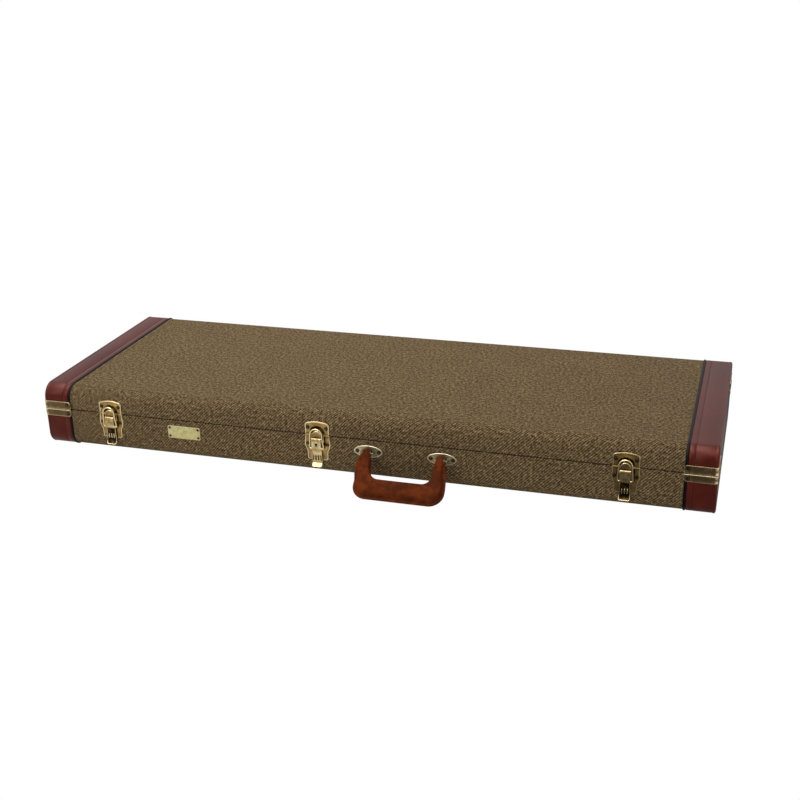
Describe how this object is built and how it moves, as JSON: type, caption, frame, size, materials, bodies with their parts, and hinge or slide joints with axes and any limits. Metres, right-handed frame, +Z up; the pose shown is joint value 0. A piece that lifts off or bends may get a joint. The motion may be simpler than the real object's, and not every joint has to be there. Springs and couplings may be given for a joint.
{
  "type": "guitar case",
  "caption": "Rectangular hard case for an electric guitar, tweed with leather ends, with a hinged lid, draw latches, a drop handle and a lined interior with an accessory compartment.",
  "frame": {"origin": "on the surface that the case lies on, under the middle of its bounding box", "axes": "+X along the case towards the end that holds the body, -Y towards the latches and the handle, +Z up through the lid"},
  "size_m": [1.0848, 0.4675, 0.1071],
  "materials": {
    "tweed": "brown and tan tweed cloth, fine twill weave",
    "cap_leather": "dark red-brown smooth leather, semi-gloss",
    "grip_leather": "napped saddle-brown leather",
    "piping": "glossy black",
    "plush": "tan plush over foam",
    "plywood": "plain birch plywood",
    "antique_brass": "antiqued, polished on the edges",
    "pale_brass": "pale satin brass",
    "dark_brass": "dark antiqued",
    "steel": "plain steel"
  },
  "bodies": {
    "base": {"base_shell": "plywood", "base_cover": "tweed", "base_cap_left": "cap_leather", "base_cap_right": "cap_leather", "base_piping_left": "piping", "base_piping_right": "piping", "base_lining": "plush", "neck_cradle": "plush", "compartment_box": "plush", "name_plate": "pale_brass", "hinge_base_leaf_left": "antique_brass", "hinge_pin_left": "steel", "latch_plate_left": "antique_brass", "latch_pin_left": "steel", "hinge_base_leaf_center": "antique_brass", "hinge_pin_center": "steel", "latch_plate_center": "antique_brass", "latch_pin_center": "steel", "hinge_base_leaf_right": "antique_brass", "hinge_pin_right": "steel", "latch_plate_right": "antique_brass", "latch_pin_right": "steel", "clip_base_front_left": "dark_brass", "clip_base_front_right": "dark_brass", "clip_base_back_left": "dark_brass", "clip_base_back_right": "dark_brass", "handle_plate_left": "pale_brass", "handle_plate_right": "pale_brass"},
    "lid": {"lid_shell": "plywood", "lid_cover": "tweed", "lid_cap_left": "cap_leather", "lid_cap_right": "cap_leather", "lid_piping_left": "piping", "lid_piping_right": "piping", "lid_lining": "plush", "hinge_lid_leaf_left": "antique_brass", "latch_catch_left": "antique_brass", "hinge_lid_leaf_center": "antique_brass", "latch_catch_center": "antique_brass", "hinge_lid_leaf_right": "antique_brass", "latch_catch_right": "antique_brass", "clip_lid_front_left": "dark_brass", "clip_lid_front_right": "dark_brass", "clip_lid_back_left": "dark_brass", "clip_lid_back_right": "dark_brass"},
    "handle": {"handle_grip": "grip_leather", "handle_eye_left": "steel", "handle_eye_right": "steel"},
    "lever_left": {"latch_lever_left": "antique_brass"},
    "bail_left": {"latch_bail_left": "antique_brass"},
    "lever_center": {"latch_lever_center": "antique_brass"},
    "bail_center": {"latch_bail_center": "antique_brass"},
    "lever_right": {"latch_lever_right": "antique_brass"},
    "bail_right": {"latch_bail_right": "antique_brass"},
    "key_plug": {"lock_plug": "pale_brass"},
    "compartment_cover": {"compartment_lid": "plush", "compartment_tab": "cap_leather"}
  },
  "joints": [
    {"name": "lid_open", "type": "hinge", "parent": "base", "child": "lid", "pos_m": [0, 0.2319, 0.0675], "axis": [-1, 0, 0], "range_deg": [0, 105]},
    {"name": "compartment_open", "type": "hinge", "parent": "base", "child": "compartment_cover", "pos_m": [-0.129, 0.2007, 0.06585], "axis": [-1, 0, 0], "range_deg": [0, 84]},
    {"name": "handle_swing", "type": "hinge", "parent": "base", "child": "handle", "pos_m": [0.078, -0.1662, 0.0485], "axis": [-1, 0, 0], "range_deg": [-45, 112]},
    {"name": "lever_left_lift", "type": "hinge", "parent": "base", "child": "lever_left", "pos_m": [-0.42, -0.1618, 0.0608], "axis": [-1, 0, 0], "range_deg": [0, 90]},
    {"name": "bail_left_turn", "type": "hinge", "parent": "lever_left", "child": "bail_left", "pos_m": [-0.42, -0.1633, 0.0465], "axis": [-1, 0, 0], "range_deg": [-90, 0]},
    {"name": "lever_center_lift", "type": "hinge", "parent": "base", "child": "lever_center", "pos_m": [-0.0627, -0.1618, 0.0608], "axis": [-1, 0, 0], "range_deg": [0, 90]},
    {"name": "bail_center_turn", "type": "hinge", "parent": "lever_center", "child": "bail_center", "pos_m": [-0.0627, -0.1633, 0.0465], "axis": [-1, 0, 0], "range_deg": [-90, 0]},
    {"name": "lever_right_lift", "type": "hinge", "parent": "base", "child": "lever_right", "pos_m": [0.4105, -0.1618, 0.0608], "axis": [-1, 0, 0], "range_deg": [0, 90]},
    {"name": "bail_right_turn", "type": "hinge", "parent": "lever_right", "child": "bail_right", "pos_m": [0.4105, -0.1633, 0.0465], "axis": [-1, 0, 0], "range_deg": [-90, 0]},
    {"name": "lock_turn", "type": "hinge", "parent": "lever_center", "child": "key_plug", "pos_m": [-0.0627, -0.166, 0.0533], "axis": [0, -1, 0], "range_deg": [0, 90]}
  ],
  "couplings": [
    {"joint": "compartment_open", "follows": "lid_open", "ratio": 0.8},
    {"joint": "bail_left_turn", "follows": "lever_left_lift", "ratio": -1},
    {"joint": "bail_center_turn", "follows": "lever_center_lift", "ratio": -1},
    {"joint": "bail_right_turn", "follows": "lever_right_lift", "ratio": -1}
  ]
}
